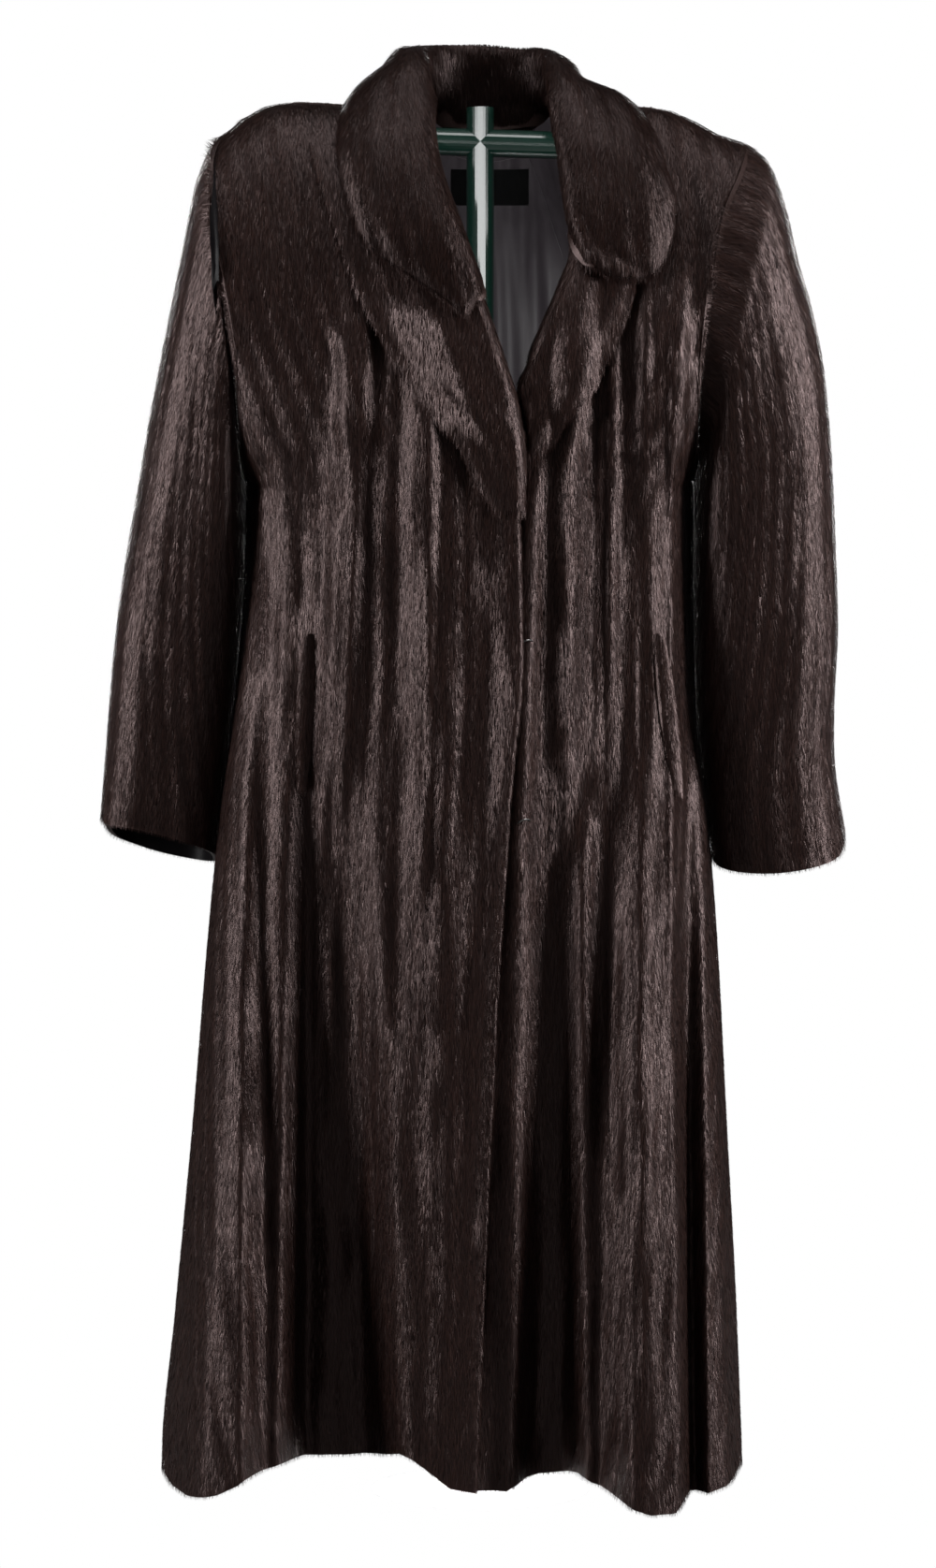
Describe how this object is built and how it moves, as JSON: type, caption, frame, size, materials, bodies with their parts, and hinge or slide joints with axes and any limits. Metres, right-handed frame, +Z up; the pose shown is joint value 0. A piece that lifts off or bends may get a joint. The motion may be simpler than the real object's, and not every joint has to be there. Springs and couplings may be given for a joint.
{
  "type": "full-length fur coat on a cross-shaped stand",
  "caption": "Full-length dark brown fur coat with a wide collar and lapels, hanging open at the neck on a cross-shaped tube stand with a round base.",
  "frame": {"origin": "on the floor at the centre of the stand's round base, under the pole", "axes": "+Z up; the coat's front faces -Y; the wearer's right side is at -X"},
  "size_m": [0.6785, 0.3423, 1.3205],
  "materials": {
    "mink_fur": "glossy black-brown fur, laid downwards",
    "satin_lining": "dark taupe satin",
    "label_cloth": "plain black woven tape",
    "hook_wire": "black oxide",
    "green_enamel": "dark green gloss enamel",
    "pale_enamel": "off-white enamel"
  },
  "bodies": {
    "root": {"right_front": "mink_fur", "left_front": "mink_fur", "back": "mink_fur", "right_sleeve": "mink_fur", "left_sleeve": "mink_fur", "collar": "mink_fur", "right_lapel": "mink_fur", "left_lapel": "mink_fur", "right_pocket_welt": "mink_fur", "left_pocket_welt": "mink_fur", "back_lining": "satin_lining", "neck_label": "label_cloth", "hook_upper": "hook_wire", "hook_lower": "hook_wire", "stand_frame": "green_enamel", "stand_base": "pale_enamel"}
  },
  "joints": []
}
